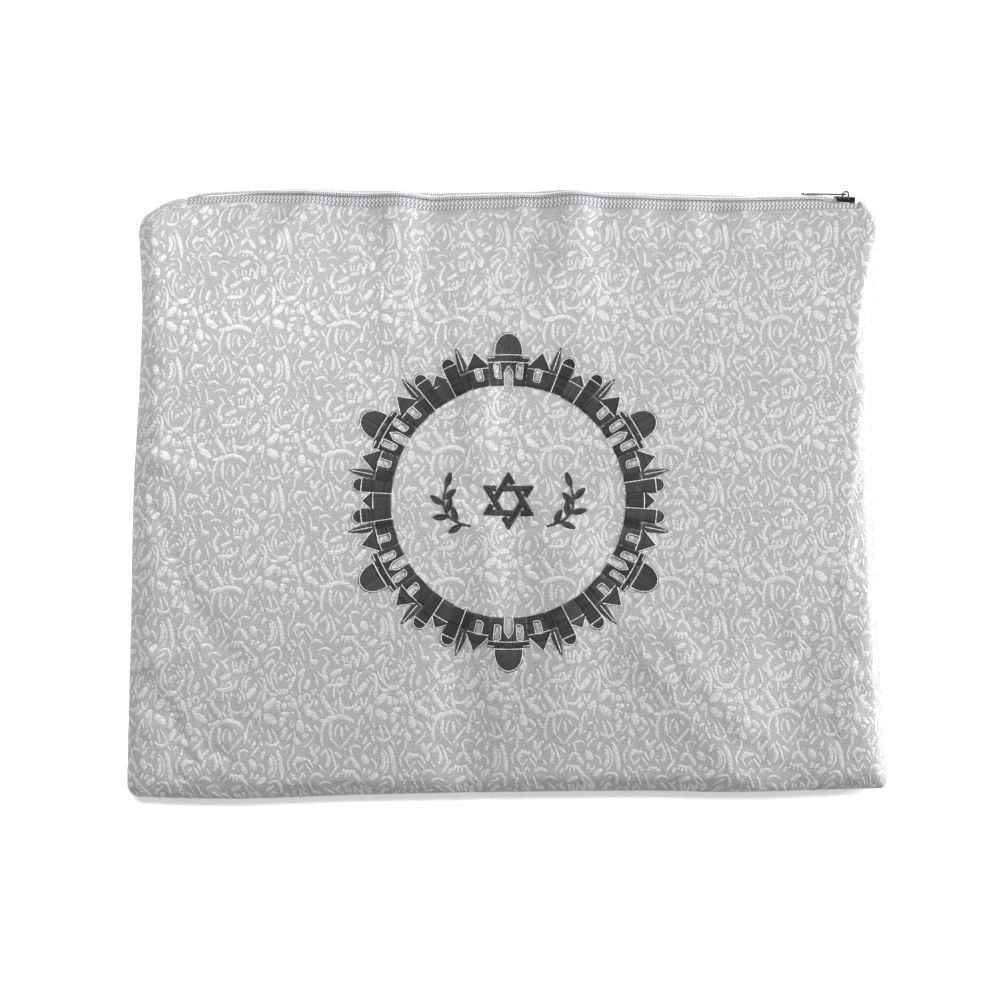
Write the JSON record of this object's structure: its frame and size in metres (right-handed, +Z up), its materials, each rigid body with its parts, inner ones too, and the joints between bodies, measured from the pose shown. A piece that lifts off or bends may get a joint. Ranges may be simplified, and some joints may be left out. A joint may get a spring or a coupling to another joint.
{
  "type": "tallit bag",
  "caption": "Flat zipped tallit bag of silver-white brocade, 36 x 29 cm, with a grey embroidered ring and star and a metal zip slider with a hinged pull tab.",
  "frame": {"origin": "middle of the bag's underside, on the surface that it lies on", "axes": "+X across the bag towards the slider's end of the closed zip, +Y towards the zip, +Z up out of the embroidered front"},
  "size_m": [0.3569, 0.2907, 0.0184],
  "materials": {
    "brocade": "satin brocade of silver-white scrolls on silver-grey",
    "zip_tape": "woven herringbone tape",
    "zip_coil": "white nylon coil",
    "dark_metal": "dark nickel plating with bright worn edges",
    "grey_thread": "glossy dark grey embroidery thread"
  },
  "bodies": {
    "bag": {"front_panel": "brocade", "back_panel": "brocade", "zip_tape_front": "zip_tape", "zip_tape_back": "zip_tape", "zip_coil_front": "zip_coil", "zip_coil_back": "zip_coil", "zip_slider": "dark_metal", "embroidered_ring": "grey_thread", "embroidered_star": "grey_thread", "embroidered_sprig_left": "grey_thread", "embroidered_sprig_right": "grey_thread"},
    "pull": {"pull_tab": "dark_metal"}
  },
  "joints": [
    {"name": "pull_tab_swing", "type": "hinge", "parent": "bag", "child": "pull", "pos_m": [0.16252, 0.14299, 0.00721], "axis": [-0.0087, 0.2834, -0.959], "range_deg": [0, 178]}
  ]
}
